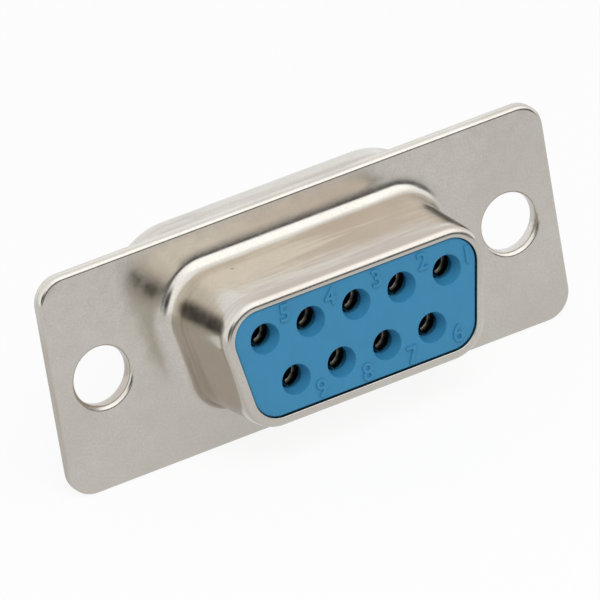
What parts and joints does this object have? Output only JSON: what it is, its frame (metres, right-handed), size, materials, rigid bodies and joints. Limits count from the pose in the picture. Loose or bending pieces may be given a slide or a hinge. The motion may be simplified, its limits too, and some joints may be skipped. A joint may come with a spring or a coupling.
{
  "type": "d-sub connector",
  "caption": "D-shaped socket connector with a flanged plated-steel shell, a mounting hole at each end, a blue moulded insert and solder-cup contacts in rows.",
  "frame": {"origin": "middle of the flange's front face, halfway between the mounting holes", "axes": "-Y is the mating direction, out of the shroud; +Z is towards the wide side of the D; +X is along the flange, to the right seen from the front"},
  "size_m": [0.0308, 0.016, 0.0126],
  "materials": {
    "plated_steel": "satin tin plating over drawn steel sheet",
    "blue_moulding": "fine moulded satin",
    "contact_metal": "plated, turned"
  },
  "bodies": {
    "root": {"front_shell": "plated_steel", "rear_shell": "plated_steel", "front_insulator": "blue_moulding", "rear_insulator": "blue_moulding", "contact_1": "contact_metal", "contact_2": "contact_metal", "contact_3": "contact_metal", "contact_4": "contact_metal", "contact_5": "contact_metal", "contact_6": "contact_metal", "contact_7": "contact_metal", "contact_8": "contact_metal", "contact_9": "contact_metal"}
  },
  "joints": []
}
